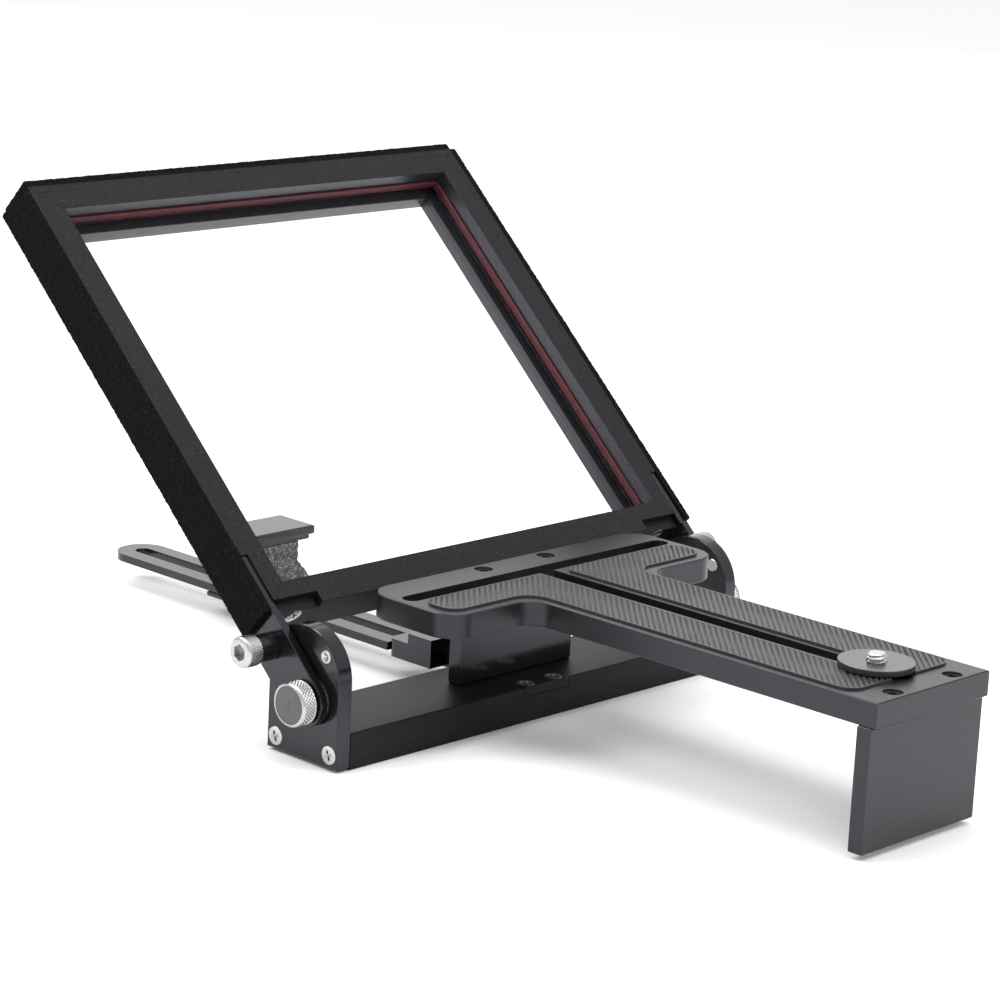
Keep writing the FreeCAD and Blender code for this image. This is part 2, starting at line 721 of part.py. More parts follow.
def make_clamp_knob():
    """Screw up through the clamp plate and the rail's slot into the post, with a knob under them."""
    knob_top = "rail_bottom - clamp_thick - 2 * post_gap"
    shank = rod("clamp_knob_shank", "z", (0, "post_y"), "clamp_screw_radius", f"{knob_top} - beyond",
                "rail_bottom + rail_thick + post_gap + clamp_screw_depth - beyond")
    knob = rod("clamp_knob_grip", "z", (0, "post_y"), "clamp_knob_radius",
               f"{knob_top} - clamp_knob_height", knob_top)
    part("post_clamp_knob", join("post_clamp_knob", shank, knob))


# ---------------------------------------------------------------- tilting frame, in its own plane

def tilt(label, solid):
    """Stand a piece made in the frame's plane at its place: turned about X, then moved so that the
    arms' stud holes, at cap_depth in the frame's plane, come to lie on the pivot."""
    solid.Label = label + "_in_frame_plane"
    stood = gather(label, [solid])
    stood.Placement = FreeCAD.Placement(FreeCAD.Vector(), FreeCAD.Rotation(FreeCAD.Vector(1, 0, 0), 1))
    stood.setExpression("Placement.Rotation.Angle", linked("frame_tilt"))
    turn = "(Sizes.frame_tilt * 1 deg)"
    stood.setExpression("Placement.Base.y", "Sizes.pivot_y - Sizes.arm_pivot_along * cos" + turn
                        + " - Sizes.cap_depth * sin" + turn)
    stood.setExpression("Placement.Base.z", "Sizes.pivot_z - Sizes.arm_pivot_along * sin" + turn
                        + " + Sizes.cap_depth * cos" + turn)
    return part(label, stood)


def mitred_rail(name, side):
    """One side of the frame: a face bar as deep as the frame and a lip behind the glass, with
    mitred ends. side is bottom, top, left or right."""
    def corners(width):
        low = ["-frame_half", 0]
        high = ["frame_half", "frame_length"]
        inner_low = [f"-frame_half + {width}", width]
        inner_high = [f"frame_half - {width}", f"frame_length - {width}"]
        if side == "bottom":
            return [low, (high[0], low[1]), (inner_high[0], inner_low[1]), inner_low]
        if side == "top":
            return [(low[0], high[1]), high, inner_high, (inner_low[0], inner_high[1])]
        if side == "left":
            return [low, (low[0], high[1]), (inner_low[0], inner_high[1]), inner_low]
        return [(high[0], low[1]), high, inner_high, (inner_high[0], inner_low[1])]

    face = plate(name + "_face", "XY_Plane", corners("face_width"), "-frame_depth", "frame_depth")
    lip = plate(name + "_lip", "XY_Plane", corners("lip_width"), "-frame_depth", "lip_depth")
    return join(name + "_profile", face, lip)


def corner_block(name, side, x_inner, along, depth=("-frame_depth", 0)):
    """Box at the frame's left or right edge, from x_inner out to the edge."""
    return block(name, span(side, x_inner, "frame_half"), along, depth)


def angle_legs(name, side):
    """The two legs of the angle let into a top corner."""
    upright = corner_block(name + "_upright", side, "frame_half - angle_thick",
                           ("frame_length - angle_leg", "frame_length"))
    level = corner_block(name + "_level", side, "frame_half - angle_leg",
                         ("frame_length - angle_thick", "frame_length"))
    return [upright, level]


def bottom_seats(name, side):
    """The spaces in a bottom corner for the arm's lap and for the leg under the frame."""
    through = ("-frame_depth - beyond", "beyond")
    lap = corner_block(name + "_lap", side, "frame_half - angle_thick", ("-beyond", "arm_lap"), through)
    leg = block(name + "_leg", span(side, "corner_leg_inner", "frame_half"),
                ("-beyond", "corner_leg_thick"), through)
    return [lap, leg]


def leg_screw_place(side):
    """Where the screw through a corner leg stands, in the frame's plane: across, then out."""
    return (f"{side} * leg_screw_across", "-leg_screw_depth")


def make_frame_rails():
    """Four mitred rails with seats for the corner pieces."""
    for name in ("bottom", "top", "left", "right"):
        rail = mitred_rail(f"frame_rail_{name}", name)
        seats = []
        for side, hand in SIDES:
            if name == "top" or name == hand:
                seats += angle_legs(f"rail_{name}_{hand}_angle_seat", side)
            if name == "bottom" or name == hand:
                seats += bottom_seats(f"rail_{name}_{hand}_seat", side)
            if name == "bottom":
                seats.append(screw_hole(f"rail_bottom_{hand}_screw_hole", "y", leg_screw_place(side), 0,
                                        "leg_screw_length", -1))
        tilt(f"frame_rail_{name}", cut(f"frame_rail_{name}", rail, *seats))


def make_corner_pieces():
    """Angles in the top corners, and the short legs in the bottom ones with a flat-head screw each."""
    screws = []
    for side, hand in SIDES:
        tilt(f"corner_angle_top_{hand}",
             join(f"corner_angle_top_{hand}", *angle_legs(f"corner_angle_{hand}", side)))
        leg = block(f"corner_leg_{hand}_blank",
                    span(side, "corner_leg_inner", "frame_half - angle_thick"),
                    (0, "corner_leg_thick"), ("-frame_depth", "-corner_leg_recess"))
        where = leg_screw_place(side)
        hole = screw_hole(f"corner_leg_{hand}_hole", "y", where, 0, "leg_screw_length", -1)
        tilt(f"corner_leg_{hand}", cut(f"corner_leg_{hand}", leg, hole))
        screws.append(screw(f"leg_screw_{hand}", "y", where, 0, "leg_screw_length", -1))
    tilt("corner_leg_screws", gather("corner_leg_screws", screws))


def make_arms():
    """Flat arms let into the frame's lower corners, down to the pivot. The outline is drawn in the
    arm's own plane: first value up along the frame, second value out of the glass."""
    corners = [("arm_end_along", "-arm_front"), ("arm_shin_along", "-arm_front"), (0, 0),
               (0, "-arm_sunk"), ("arm_lap", "-arm_sunk"),
               ("arm_lap", "-frame_depth"), ("arm_heel", "-frame_depth"),
               ("arm_belly_top", "-arm_belly"), ("arm_belly_bottom", "-arm_belly"),
               ("arm_back_along", "-arm_back"), ("arm_end_along", "-arm_back")]
    pivot = ("arm_pivot_along", "-cap_depth")
    for side, hand in SIDES:
        inner, outer = span(side, "frame_half - angle_thick", "frame_half")
        blank = plate(f"arm_{hand}_blank", "YZ_Plane", corners, inner, "angle_thick",
                      [((0, 10), "arm_round")])
        through = (f"{inner} - beyond", f"{outer} + beyond")
        hole = rod(f"arm_{hand}_stud_hole", "x", pivot, "stud_radius + stud_clearance", *through)
        screw_bore = rod(f"arm_{hand}_screw_hole", "x", ("cap_along", "-cap_depth"),
                         "cap_shank_radius + hole_clearance", *through)
        tilt(f"arm_{hand}", cut(f"arm_{hand}", blank, hole, screw_bore))


def make_glass():
    """Beam-splitter glass and the gasket in front of its edge."""
    across = "frame_half - face_width"
    along = ("face_width", "frame_length - face_width")
    glass = block("beam_splitter_glass", (f"-({across} - glass_gap)", f"{across} - glass_gap"),
                  (f"{along[0]} + glass_gap", f"{along[1]} - glass_gap"),
                  ("-glass_front - glass_thick", "-glass_front"))
    tilt("beam_splitter_glass", glass)
    depth = ("-glass_front", "-gasket_front")
    outer = block("gasket_outer", (f"-({across})", across), along, depth)
    inner = block("gasket_inner", (f"-({across}) + gasket_thick", f"{across} - gasket_thick"),
                  (f"{along[0]} + gasket_thick", f"{along[1]} - gasket_thick"),
                  ("-glass_front - beyond", "-gasket_front + beyond"))
    tilt("glass_gasket", cut("glass_gasket", outer, inner))


def make_hook_strips():
    """Hook-and-loop strips on the frame's two sides and its top, for the hood."""
    depth = ("-frame_depth", 0)
    for side, hand in SIDES:
        strip = block(f"hook_strip_{hand}", span(side, "frame_half", "frame_half + strip_thick"),
                      ("strip_start", "frame_length"), depth)
        tilt(f"hook_strip_{hand}", strip)
    top = block("hook_strip_top", ("-frame_half", "frame_half"),
                ("frame_length", "frame_length + strip_thick"), depth)
    tilt("hook_strip_top", top)


def make_arm_screws():
    """Socket-head screws in the arms, each standing off on a round spacer."""
    centre = ("cap_along", "-cap_depth")
    spacers = []
    screws = []
    for side, hand in SIDES:
        low, high = span(side, "frame_half", "frame_half + spacer_length")
        tube = rod(f"spacer_{hand}_tube", "x", centre, "spacer_radius", low, high)
        bore = rod(f"spacer_{hand}_bore", "x", centre, "cap_shank_radius + hole_clearance",
                   f"{low} - beyond", f"{high} + beyond")
        spacers.append(cut(f"spacer_{hand}", tube, bore))
        head = rod(f"cap_screw_{hand}_head", "x", centre, "cap_radius",
                   *span(side, "frame_half + spacer_length", "frame_half + spacer_length + cap_length"))
        shank = rod(f"cap_screw_{hand}_shank", "x", centre, "cap_shank_radius",
                    *span(side, "frame_half - angle_thick", "frame_half + spacer_length + beyond"))
        socket = hexagon(f"cap_screw_{hand}_socket", "x", centre, "cap_socket_width",
                         *span(side, "frame_half + spacer_length + cap_length - cap_socket_depth",
                               "frame_half + spacer_length + cap_length + beyond"))
        screws.append(cut(f"cap_screw_{hand}", join(f"cap_screw_{hand}_blank", head, shank), socket))
    tilt("arm_spacers", gather("arm_spacers", spacers))
    tilt("arm_cap_screws", gather("arm_cap_screws", screws))


# ---------------------------------------------------------------- thumb knobs

def make_thumb_knobs():
    """Knob on each side whose stud is the frame's pivot and clamps the arm to the side plate."""
    centre = ("pivot_y", "pivot_z")
    for side, hand in SIDES:
        grip = rod(f"knob_{hand}_grip", "x", centre, "knob_radius",
                   *span(side, "frame_half + knob_gap", "frame_half + knob_gap + knob_length"))
        dish = rod(f"knob_{hand}_dish", "x", centre, "knob_dish_radius",
                   *span(side, "frame_half + knob_gap + knob_length - knob_dish",
                         "frame_half + knob_gap + knob_length + beyond"))
        stud = rod(f"knob_{hand}_stud", "x", centre, "stud_radius",
                   *span(side, "bar_length_half - stud_end", "frame_half + knob_gap + beyond"))
        dished = cut(f"knob_{hand}_dished", grip, dish)
        part(f"thumb_knob_{hand}", join(f"thumb_knob_{hand}", dished, stud))


make_crossbar()
make_side_plates()
make_plate_screws()
make_plungers()
make_washers()
make_pedestal()
make_camera_plate()
make_plate_top_screws()
make_grip_pads()
make_foot_plate()
make_camera_disc()
make_camera_screw()
make_rail_bracket()
make_rail_screws()
make_device_rail()
make_device_post()
make_clamp_plate()
make_clamp_knob()
make_frame_rails()
make_corner_pieces()
make_arms()
make_glass()
make_hook_strips()
make_arm_screws()
make_thumb_knobs()
doc.recompute()

for thing in doc.Objects:
    if "Invalid" in thing.State or "Error" in thing.State:
        raise RuntimeError(f"{thing.Label} failed: {thing.State}")
for piece in parts:
    if piece.Shape.isNull() or not piece.Shape.isValid():
        raise RuntimeError(f"{piece.Label} has no valid shape")

for piece in parts:
    piece.Shape.exportStep(f"parts/{piece.Label}.step")
    box = piece.Shape.BoundBox
    print(f"{piece.Label}: {len(piece.Shape.Solids)} solids, {piece.Shape.Volume:.0f} mm3, "
          f"X {box.XMin:.1f} {box.XMax:.1f}  Y {box.YMin:.1f} {box.YMax:.1f}  "
          f"Z {box.ZMin:.1f} {box.ZMax:.1f}")
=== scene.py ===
"""Looks of the teleprompter: softened machined parts, knurled knobs, ribbed pads, pile strips,
glass, and the studio they stand in. Metres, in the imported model's own frame."""

import itertools
import json
import math
import random

import bmesh
import bpy
import numpy as np
from mathutils import Matrix, Vector


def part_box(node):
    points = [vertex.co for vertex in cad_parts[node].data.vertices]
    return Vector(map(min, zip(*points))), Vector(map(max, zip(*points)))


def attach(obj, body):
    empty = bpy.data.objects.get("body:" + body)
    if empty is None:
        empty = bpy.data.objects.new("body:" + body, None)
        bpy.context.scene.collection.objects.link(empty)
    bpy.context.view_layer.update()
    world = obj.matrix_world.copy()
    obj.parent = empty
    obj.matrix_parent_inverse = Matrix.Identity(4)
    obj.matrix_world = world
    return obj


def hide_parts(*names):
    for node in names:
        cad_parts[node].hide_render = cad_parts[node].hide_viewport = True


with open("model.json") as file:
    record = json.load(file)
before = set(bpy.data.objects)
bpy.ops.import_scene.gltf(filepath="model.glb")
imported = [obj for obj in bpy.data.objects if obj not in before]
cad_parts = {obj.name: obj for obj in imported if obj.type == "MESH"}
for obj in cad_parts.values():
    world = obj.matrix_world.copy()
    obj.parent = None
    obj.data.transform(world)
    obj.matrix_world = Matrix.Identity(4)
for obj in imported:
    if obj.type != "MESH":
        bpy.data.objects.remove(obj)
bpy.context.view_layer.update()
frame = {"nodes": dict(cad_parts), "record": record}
MM = 0.001
TURN = 2 * math.pi
UP = (0, 0, 1)
HANDS = ((-1, "left"), (1, "right"))
MERGE_DISTANCE = 1e-6
SHARP_ANGLE = math.radians(30)

BODY_OF = {node: body for body, nodes in frame["record"]["behaviour"]["bodies"].items() for node in nodes}


# ---------------------------------------------------------------- places read from the frame

def middle(node):
    """Centre of a node's box."""
    low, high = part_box(node)
    return (Vector(low) + Vector(high)) / 2


def vertices_of(node):
    """A node's vertices as rows of numbers."""
    return np.array([vertex.co[:] for vertex in frame["nodes"][node].data.vertices])


def frame_plane():
    """The tilting frame's own plane: X across, Y up along the glass, Z out of the glass's front."""
    points = vertices_of("beam_splitter_glass")
    flat = points[:, 1:] - points[:, 1:].mean(axis=0)
    up = np.linalg.svd(flat, full_matrices=False)[2][0]
    up = up * math.copysign(1, up[1])
    return Matrix(((1, 0, 0), (0, up[0], -up[1]), (0, up[1], up[0])))


PLANE = frame_plane()


def flat_box(node):
    """A node's low and high corners in the tilting frame's plane."""
    points = vertices_of(node) @ np.array(PLANE)
    return Vector(points.min(axis=0)), Vector(points.max(axis=0))


# ---------------------------------------------------------------- mesh helpers

def add_object(name, data):
    """New object in the scene from a mesh, light or camera."""
    added = bpy.data.objects.new(name, data)
    bpy.context.scene.collection.objects.link(added)
    return added


def object_from_bmesh(name, bm, sharp=35):
    """Object from a bmesh, smooth except at edges sharper than the angle."""
    bmesh.ops.recalc_face_normals(bm, faces=bm.faces)
    mesh = bpy.data.meshes.new(name)
    bm.to_mesh(mesh)
    bm.free()
    mesh.shade_smooth()
    mesh.set_sharp_from_angle(angle=math.radians(sharp))
    return add_object(name, mesh)


def finish_piece(piece, node, material):
    """A piece that stands for a CAD node takes its body and the given material."""
    piece.data.materials.clear()
    piece.data.materials.append(material)
    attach(piece, BODY_OF[node])
    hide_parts(node)
    return piece


def attach_piece(piece, node, material):
    """A piece on top of a CAD node takes its body and the given material."""
    piece.data.materials.append(material)
    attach(piece, BODY_OF[node])


def second_material(piece, material, chosen):
    """Give the faces that chosen(centre, normal) picks another material."""
    piece.data.materials.append(material)
    for face in piece.data.polygons:
        if chosen(face.center, face.normal):
            face.material_index = 1


def node_bmesh(node):
    """A node's mesh, with its doubled vertices merged and its flat faces whole."""
    bm = bmesh.new()
    bm.from_mesh(frame["nodes"][node].data)
    bmesh.ops.remove_doubles(bm, verts=bm.verts, dist=MERGE_DISTANCE)
    bmesh.ops.dissolve_limit(bm, angle_limit=math.radians(0.5), verts=bm.verts, edges=bm.edges)
    return bm


def soften(node, material, width):
    """The node's own shape with its sharp edges broken, and flat faces that shade flat."""
    bm = node_bmesh(node)
    edges = [edge for edge in bm.edges
             if len(edge.link_faces) == 2 and edge.calc_face_angle(0) > SHARP_ANGLE]
    bmesh.ops.bevel(bm, geom=edges, offset=width, offset_type="OFFSET", segments=2, profile=0.5,
                    affect="EDGES", clamp_overlap=True)
    piece = object_from_bmesh(node + "_body", bm)
    normals = piece.modifiers.new("normals", "WEIGHTED_NORMAL")
    normals.weight = 100
    normals.keep_sharp = True
    return finish_piece(evaluated(piece), node, material)


def axis_turn(axis):
    """Rotation that takes +Z to the axis."""
    return Vector(UP).rotation_difference(Vector(axis)).to_matrix().to_4x4()


def steps_between(low, high, rows, radius):
    """Profile points at one radius, evenly spaced between two heights."""
    return [(low + (high - low) * row / rows, radius) for row in range(rows + 1)]


def close_rings(bm, rings):
    """Faces between a row of rings of vertices, and over both ends."""
    for low, high in zip(rings, rings[1:]):
        for step in range(len(low)):
            after = (step + 1) % len(low)
            bm.faces.new((low[step], low[after], high[after], high[step]))
    bm.faces.new(list(reversed(rings[0])))
    bm.faces.new(rings[-1])


def lathe(bm, profile, centre, axis, steps, wave=None):
    """Closed solid of revolution. profile holds (height, radius) pairs from the back to the front,
    and wave(angle, height, radius) is added to the radius."""
    place = Matrix.Translation(centre) @ axis_turn(axis)
    rings = []
    for height, radius in profile:
        ring = []
        for step in range(steps):
            angle = TURN * step / steps
            reach = radius + (wave(angle, height, radius) if wave else 0)
            spot = Vector((reach * math.cos(angle), reach * math.sin(angle), height))
            ring.append(bm.verts.new(place @ spot))
        rings.append(ring)
    close_rings(bm, rings)


def evaluated(piece):
    """Turn a piece's modifiers into its mesh."""
    graph = bpy.context.evaluated_depsgraph_get()
    mesh = bpy.data.meshes.new_from_object(piece.evaluated_get(graph))
    piece.modifiers.clear()
    piece.data = mesh
    return piece


def subtract(piece, other):
    """Cut another object out of a piece, and delete it."""
    modifier = piece.modifiers.new("boolean", "BOOLEAN")
    modifier.operation = "DIFFERENCE"
    modifier.solver = "EXACT"
    modifier.object = other
    evaluated(piece)
    bpy.data.objects.remove(other)
    return piece


# ---------------------------------------------------------------- materials

def new_material(name, **values):
    """Principled material. The keywords are socket names with underscores for spaces."""
    material = bpy.data.materials.new(name)
    material.use_nodes = True
    shader = material.node_tree.nodes["Principled BSDF"]
    for key, value in values.items():
        shader.inputs[key.replace("_", " ")].default_value = value
    return material


def add_node(material, kind, **values):
    """New node. Keywords name its sockets, or its own properties where it has them."""
    node = material.node_tree.nodes.new("ShaderNode" + kind)
    for key, value in values.items():
        if hasattr(node, key):
            setattr(node, key, value)
        else:
            node.inputs[key.replace("_", " ")].default_value = value
    return node


def join_nodes(material, source, target):
    """Link an output to an input."""
    material.node_tree.links.new(source, target)


def noise(material, scale, detail=3.0, roughness=0.6, stretch=None):
    """Noise in the object's own metres, optionally stretched along its axes."""
    place = add_node(material, "TexCoord")
    source = place.outputs["Object"]
    if stretch:
        mapping = add_node(material, "Mapping", Scale=stretch)
        join_nodes(material, source, mapping.inputs["Vector"])
        source = mapping.outputs["Vector"]
    texture = add_node(material, "TexNoise", Scale=scale, Detail=detail, Roughness=roughness)
    join_nodes(material, source, texture.inputs["Vector"])
    return texture.outputs["Fac"]


def ramp(material, source, *stops):
    """Colour ramp from (position, grey or colour) stops."""
    node = add_node(material, "ValToRGB")
    elements = node.color_ramp.elements
    while len(elements) < len(stops):
        elements.new(0.5)
    for element, (position, colour) in zip(elements, stops):
        element.position = position
        element.color = (*colour, 1) if isinstance(colour, tuple) else (colour, colour, colour, 1)
    join_nodes(material, source, node.inputs["Fac"])
    return node.outputs["Color"]


def spread(material, source, low, high, start=0.3, end=0.7):
    """Map a value between start and end to one between low and high."""
    node = add_node(material, "MapRange", From_Min=start, From_Max=end, To_Min=low, To_Max=high)
    join_nodes(material, source, node.inputs["Value"])
    return node.outputs["Result"]


def to_shader(material, source, name):
    """Link an output to one of the shader's sockets."""
    join_nodes(material, source, material.node_tree.nodes["Principled BSDF"].inputs[name])


def multiply(material, first, second):
    """One colour times another."""
    node = add_node(material, "Mix", data_type="RGBA", blend_type="MULTIPLY")
    factor, colour_a, colour_b = (node.inputs[k] for k in (0, 6, 7))
    factor.default_value = 1.0
    join_nodes(material, first, colour_a)
    join_nodes(material, second, colour_b)
    return node.outputs[2]


def bump(material, source, depth):
    """Bump of a depth in metres from a value."""
    node = add_node(material, "Bump", Strength=1.0, Distance=depth)
    join_nodes(material, source, node.inputs["Height"])
    to_shader(material, node.outputs["Normal"], "Normal")


BLACK_DYE = (1.0, 0.97, 1.08)
DYE_SHEEN = (0.9, 0.87, 1.0, 1)


def scaled(colour, factor):
    """A colour with its parts times a factor."""
    return tuple(part * factor for part in colour)


def anodised(name, tone, rough, shine, depth, grain=1400, tint=BLACK_DYE, specks=1.3):
    """Bead-blasted, dyed aluminium: fine grain, with brighter specks, over slow changes of tone."""
    material = new_material(name, Specular_IOR_Level=shine, Specular_Tint=DYE_SHEEN)
    fine = noise(material, grain, 4.0, 0.7)
    slow = noise(material, 45, 2.0)
    dark, light, bright = (scaled(tint, tone * share) for share in (0.7, 1.3, specks))
    grained = ramp(material, fine, (0.3, dark), (0.58, light), (0.7, bright))
    clouded = ramp(material, slow, (0.3, 0.86), (0.7, 1.0))
    to_shader(material, multiply(material, grained, clouded), "Base Color")
    to_shader(material, spread(material, fine, rough - 0.06, rough + 0.08), "Roughness")
    bump(material, fine, depth)
    return material


def steel(name, tone, rough):
    """Metal with fine tool marks."""
    material = new_material(name, Metallic=1.0)
    marks = noise(material, 1800)
    slow = noise(material, 160, 2.0)
    dull, bright = scaled((0.9, 0.9, 0.91), tone), scaled((1, 0.995, 0.98), tone)
    to_shader(material, ramp(material, slow, (0.3, dull), (0.7, bright)), "Base Color")
    to_shader(material, spread(material, marks, rough - 0.07, rough + 0.1), "Roughness")
    bump(material, marks, 0.004 * MM)
    return material


def rubber(name, tone):
    """Dusty moulded rubber."""
    material = new_material(name, Specular_IOR_Level=0.55)
    fine = noise(material, 2600, 3.0, 0.7)
    slow = noise(material, 90, 3.0)
    to_shader(material, ramp(material, slow, (0.3, tone * 0.8), (0.7, tone * 1.15)), "Base Color")
    to_shader(material, spread(material, fine, 0.38, 0.52), "Roughness")
    bump(material, fine, 0.01 * MM)
    return material


def red_gasket():
    """Soft red rubber, streaked along X."""
    material = new_material("red_gasket", Specular_IOR_Level=0.5)
    slow = noise(material, 240, stretch=(0.2, 1, 1))
    red = ramp(material, slow, (0.3, (0.05, 0.004, 0.008)), (0.7, (0.09, 0.009, 0.014)))
    to_shader(material, red, "Base Color")
    to_shader(material, spread(material, slow, 0.42, 0.58), "Roughness")
    bump(material, noise(material, 1500), 0.02 * MM)
    return material


def pile_material(name, dark, light):
    """Nylon pile, blotched where the loops part."""
    material = new_material(name, Specular_IOR_Level=0.08, Sheen_Weight=0.01, Sheen_Roughness=0.4)
    loops = noise(material, 750, 3.0, 0.7)
    to_shader(material, ramp(material, loops, (0.5, dark), (0.68, light)), "Base Color")
    to_shader(material, spread(material, loops, 0.62, 0.85), "Roughness")
    bump(material, loops, 0.25 * MM)
    return material


def cast_material():
    """Rough grey metal with bright grains painted in as glints."""
    material = new_material("rough_cast", Specular_IOR_Level=0.6)
    grains = noise(material, 1500, 2.0, 0.55)
    slow = noise(material, 260, 3.0)
    # The 0.6 stop paints glints on the grains; the metal between them stays dark.
    grained = ramp(material, grains, (0.3, 0.02), (0.58, 0.05), (0.66, 0.6))
    clouded = ramp(material, slow, (0.38, 0.25), (0.62, 1.0))
    to_shader(material, multiply(material, grained, clouded), "Base Color")
    to_shader(material, spread(material, grains, 0.45, 0.2, 0.5, 0.66), "Roughness")
    bump(material, grains, 0.15 * MM)
    return material


def glass_material():
    """Beam-splitter glass: a thin part-silvered film that lets nearly all light through."""
    material = new_material("mirror_glass", Metallic=1.0, Alpha=0.02, Roughness=0.02)
    slow = noise(material, 18, 2.0)
    silver = ramp(material, slow, (0.3, (0.86, 0.9, 0.93)), (0.7, (0.92, 0.95, 0.97)))
    to_shader(material, silver, "Base Color")
    return material


# Anodised black: tone of the dye, roughness, specular level.
MATERIALS = {
    "plate": anodised("plate_black", 0.005, 0.15, 0.5, depth=0.001 * MM),
    "camera_plate": anodised("camera_plate_black", 0.006, 0.34, 0.54, depth=0.002 * MM, grain=2600),
    "crossbar": anodised("crossbar_black", 0.003, 0.44, 0.19, depth=0.1 * MM, grain=1500, specks=14),
    "frame": anodised("frame_black", 0.005, 0.5, 0.2, depth=0.12 * MM, grain=1600, specks=14),
    # seat: a smoother copy of the frame finish, lighter in tone as painted light on the walls round the
    # glass.
    "seat": anodised("seat_black_painted_light", 0.012, 0.34, 0.7, depth=0.01 * MM, grain=1000),
    "disc": anodised("disc_black", 0.014, 0.24, 0.95, depth=0.002 * MM, grain=2500),
    "spacer": anodised("spacer_black", 0.006, 0.25, 0.4, depth=0.002 * MM),
    "rail": anodised("rail_grey", 0.008, 0.17, 0.4, depth=0.006 * MM, grain=1700, tint=(1, 1, 1)),
    "steel": steel("bright_steel", 0.55, 0.22),
    "turned": steel("turned_steel", 0.5, 0.25),
    # knob_face: a darker copy of the turned steel, painted shade on the knobs' faces.
    "knob_face": steel("knob_face_shaded_steel", 0.115, 0.3),
    "dark_steel": steel("black_steel", 0.12, 0.3),
    "pad": rubber("grip_rubber", 0.03),
    "gasket": red_gasket(),
    "pile": pile_material("hook_and_loop", (0.0008, 0.0008, 0.0012), (0.005, 0.005, 0.007)),
    "fibre": pile_material("pile_fibres", (0.001, 0.001, 0.002), (0.05, 0.05, 0.06)),
    "cast": cast_material(),
    "glass": glass_material(),
}


# ---------------------------------------------------------------- machined parts

# Material and width of the broken edges, in millimetres.
SOFTENED = {
    "base_crossbar": ("crossbar", 0.15),
    "side_plate_left": ("plate", 0.12),
    "side_plate_right": ("plate", 0.12),
    "pedestal": ("plate", 0.15),
    "camera_plate": ("camera_plate", 0.12),
    "foot_plate": ("camera_plate", 0.12),
    "rail_bracket": ("plate", 0.2),
    "device_rail": ("rail", 0.3),
    "frame_rail_bottom": ("frame", 0.2),
    "frame_rail_top": ("frame", 0.2),
    "frame_rail_left": ("frame", 0.2),
    "frame_rail_right": ("frame", 0.2),
    "corner_angle_top_left": ("frame", 0.15),
    "corner_angle_top_right": ("frame", 0.15),
    "corner_leg_left": ("frame", 0.2),
    "corner_leg_right": ("frame", 0.2),
    "arm_left": ("plate", 0.2),
    "arm_right": ("plate", 0.2),
    "arm_spacers": ("spacer", 0.2),
    "camera_disc": ("disc", 0.15),
    "post_clamp_plate": ("rail", 0.15),
    "friction_washers": ("steel", 0.08),
    "glass_gasket": ("gasket", 0.3),
    "beam_splitter_glass": ("glass", 0.2),
}


def make_machined_parts():
    """Every part that keeps its CAD shape. The pedestal's foot lies flush in the crossbar and shares its
    finish, and the frame rails have a smoother seat round the glass, whose lighter tone is painted light."""
    for node, (material, width) in SOFTENED.items():
        soften(node, MATERIALS[material], width * MM)
    bar_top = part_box("base_crossbar")[1][2] + 0.1 * MM
    second_material(bpy.data.objects["pedestal_body"], MATERIALS["crossbar"],
                    lambda spot, normal: spot.z < bar_top)
    glass = middle("beam_splitter_glass")
    out = PLANE @ Vector(UP)
    # Painted light: the walls facing the glass take the lighter seat copy of the frame finish.
    for side in ("bottom", "top", "left", "right"):
        second_material(bpy.data.objects[f"frame_rail_{side}_body"], MATERIALS["seat"],
                        lambda spot, normal: abs(normal.dot(out)) < 0.5 and normal.dot(glass - spot) > 0)


# ---------------------------------------------------------------- screws and knobs

def solid_boxes(node, turned=Matrix.Identity(3)):
    """Box of each separate solid in a node, along the axes of a turned frame."""
    bm = bmesh.new()
    bm.from_mesh(frame["nodes"][node].data)
    bmesh.ops.remove_doubles(bm, verts=bm.verts, dist=MERGE_DISTANCE)
    left = set(bm.verts)
    boxes = []
    for start in bm.verts:
        if start not in left:
            continue
        left.remove(start)
        group, found = [start], [start]
        while group:
            for edge in group.pop().link_edges:
                for vertex in edge.verts:
                    if vertex in left:
                        left.remove(vertex)
                        group.append(vertex)
                        found.append(vertex)
        points = np.array([vertex.co[:] for vertex in found]) @ np.array(turned)
        boxes.append((Vector(points.min(axis=0)), Vector(points.max(axis=0))))
    bm.free()
    return boxes


def outer_end(low, high):
    """For a solid along X: its side, the middle of its outer end, its radius and its length."""
    side = math.copysign(1, low.x)
    centre = Vector((high.x if side > 0 else low.x, (low.y + high.y) / 2, (low.z + high.z) / 2))
    return side, centre, (high.y - low.y) / 2, high.x - low.x


def top_end(low, high):
    """For a solid along Z: the middle of its top, its radius and its length."""
    centre = Vector(((low.x + high.x) / 2, (low.y + high.y) / 2, high.z))
    return centre, (high.y - low.y) / 2, high.z - low.z


RECESS_DEPTH = 1.5 * MM
RECESS_ANGLE = 0.35
RECESS_REACH = 0.58
RECESS_HALF_WIDTH = 0.14


def recess_bar(name, centre, axis, radius, quarter):
    """One tapered bar of a cross recess as a solid to cut with, standing out past the head."""
    spin = Matrix.Rotation(RECESS_ANGLE + quarter * TURN / 4, 4, "Z")
    place = Matrix.Translation(centre) @ axis_turn(axis) @ spin
    wing = radius * RECESS_REACH
    half = radius * RECESS_HALF_WIDTH
    bm = bmesh.new()
    rings = []
    for height, reach, thick in ((-RECESS_DEPTH, wing * 0.4, half * 0.7), (0, wing, half),
                                 (RECESS_DEPTH, wing, half)):
        corners = ((-reach, -thick), (reach, -thick), (reach, thick), (-reach, thick))
        rings.append([bm.verts.new(place @ Vector((x, y, height))) for x, y in corners])
    close_rings(bm, rings)
    return object_from_bmesh(name, bm)


